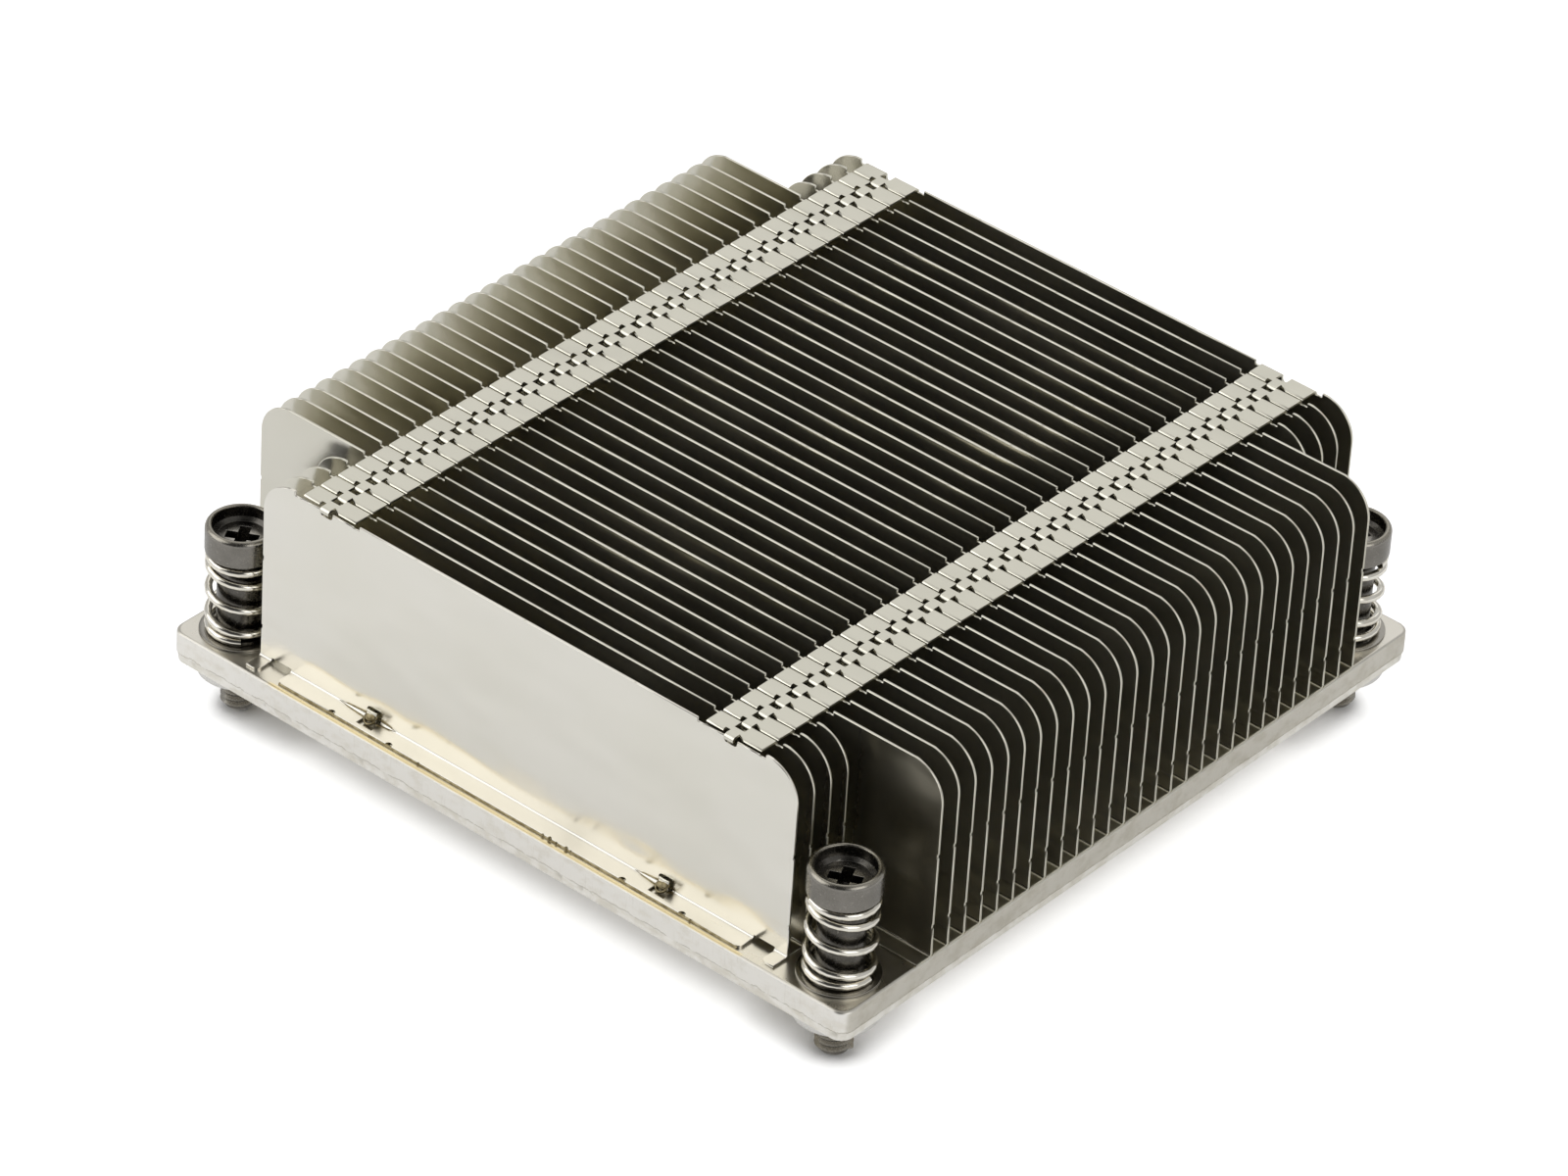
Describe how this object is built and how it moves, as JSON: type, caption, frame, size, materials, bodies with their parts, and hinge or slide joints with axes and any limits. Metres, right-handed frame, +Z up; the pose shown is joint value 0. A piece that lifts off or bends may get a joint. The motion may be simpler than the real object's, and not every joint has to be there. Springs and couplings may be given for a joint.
{
  "type": "passive server cpu heatsink",
  "caption": "Low square heatsink for a server processor: a flat base plate with a stack of thin folded fins and captive sprung screws at its corners.",
  "frame": {"origin": "middle of the contact pad's underside, the face that sits on the processor", "axes": "+Z up from the processor through the fins, X along the fins, Y across the stack; the first fin, with its foot towards the front, faces -Y"},
  "size_m": [0.09, 0.09, 0.032],
  "materials": {
    "plate_nickel": "satin nickel plating over the cold rolled plate",
    "fin_nickel": "glossy nickel plated sheet",
    "screw_steel": "dark gunmetal plating, half gloss",
    "spring_steel": "bright drawn wire",
    "washer_steel": "dark plating, satin",
    "ring_steel": "bright pressed steel"
  },
  "bodies": {
    "heatsink": {"base_plate": "plate_nickel", "fin_01": "fin_nickel", "fin_02": "fin_nickel", "fin_03": "fin_nickel", "fin_04": "fin_nickel", "fin_05": "fin_nickel", "fin_06": "fin_nickel", "fin_07": "fin_nickel", "fin_08": "fin_nickel", "fin_09": "fin_nickel", "fin_10": "fin_nickel", "fin_11": "fin_nickel", "fin_12": "fin_nickel", "fin_13": "fin_nickel", "fin_14": "fin_nickel", "fin_15": "fin_nickel", "fin_16": "fin_nickel", "fin_17": "fin_nickel", "fin_18": "fin_nickel", "fin_19": "fin_nickel", "fin_20": "fin_nickel", "fin_21": "fin_nickel", "fin_22": "fin_nickel", "fin_23": "fin_nickel", "fin_24": "fin_nickel", "fin_25": "fin_nickel", "fin_26": "fin_nickel", "fin_27": "fin_nickel", "fin_28": "fin_nickel", "fin_29": "fin_nickel", "fin_30": "fin_nickel", "fin_31": "fin_nickel", "fin_32": "fin_nickel", "fin_33": "fin_nickel", "fin_34": "fin_nickel", "fin_35": "fin_nickel", "fin_36": "fin_nickel", "washer_front_left": "washer_steel", "washer_front_right": "washer_steel", "washer_back_right": "washer_steel", "washer_back_left": "washer_steel", "spring_front_left": "spring_steel", "spring_front_right": "spring_steel", "spring_back_right": "spring_steel", "spring_back_left": "spring_steel"},
    "carrier_front_left": {"ring_front_left": "ring_steel"},
    "turning_front_left": {"screw_front_left": "screw_steel"},
    "carrier_front_right": {"ring_front_right": "ring_steel"},
    "turning_front_right": {"screw_front_right": "screw_steel"},
    "carrier_back_right": {"ring_back_right": "ring_steel"},
    "turning_back_right": {"screw_back_right": "screw_steel"},
    "carrier_back_left": {"ring_back_left": "ring_steel"},
    "turning_back_left": {"screw_back_left": "screw_steel"}
  },
  "joints": [
    {"name": "press_front_left", "type": "slide", "parent": "heatsink", "child": "carrier_front_left", "axis": [0, 0, 1], "range_m": [-0.0032, 0], "stiffness_N_per_m": 5000, "deforming": ["spring_front_left"]},
    {"name": "turn_front_left", "type": "hinge", "parent": "carrier_front_left", "child": "turning_front_left", "pos_m": [-0.04, -0.04, 0], "axis": [0, 0, 1], "continuous": true},
    {"name": "press_front_right", "type": "slide", "parent": "heatsink", "child": "carrier_front_right", "axis": [0, 0, 1], "range_m": [-0.0032, 0], "stiffness_N_per_m": 5000, "deforming": ["spring_front_right"]},
    {"name": "turn_front_right", "type": "hinge", "parent": "carrier_front_right", "child": "turning_front_right", "pos_m": [0.04, -0.04, 0], "axis": [0, 0, 1], "continuous": true},
    {"name": "press_back_right", "type": "slide", "parent": "heatsink", "child": "carrier_back_right", "axis": [0, 0, 1], "range_m": [-0.0032, 0], "stiffness_N_per_m": 5000, "deforming": ["spring_back_right"]},
    {"name": "turn_back_right", "type": "hinge", "parent": "carrier_back_right", "child": "turning_back_right", "pos_m": [0.04, 0.04, 0], "axis": [0, 0, 1], "continuous": true},
    {"name": "press_back_left", "type": "slide", "parent": "heatsink", "child": "carrier_back_left", "axis": [0, 0, 1], "range_m": [-0.0032, 0], "stiffness_N_per_m": 5000, "deforming": ["spring_back_left"]},
    {"name": "turn_back_left", "type": "hinge", "parent": "carrier_back_left", "child": "turning_back_left", "pos_m": [-0.04, 0.04, 0], "axis": [0, 0, 1], "continuous": true}
  ]
}
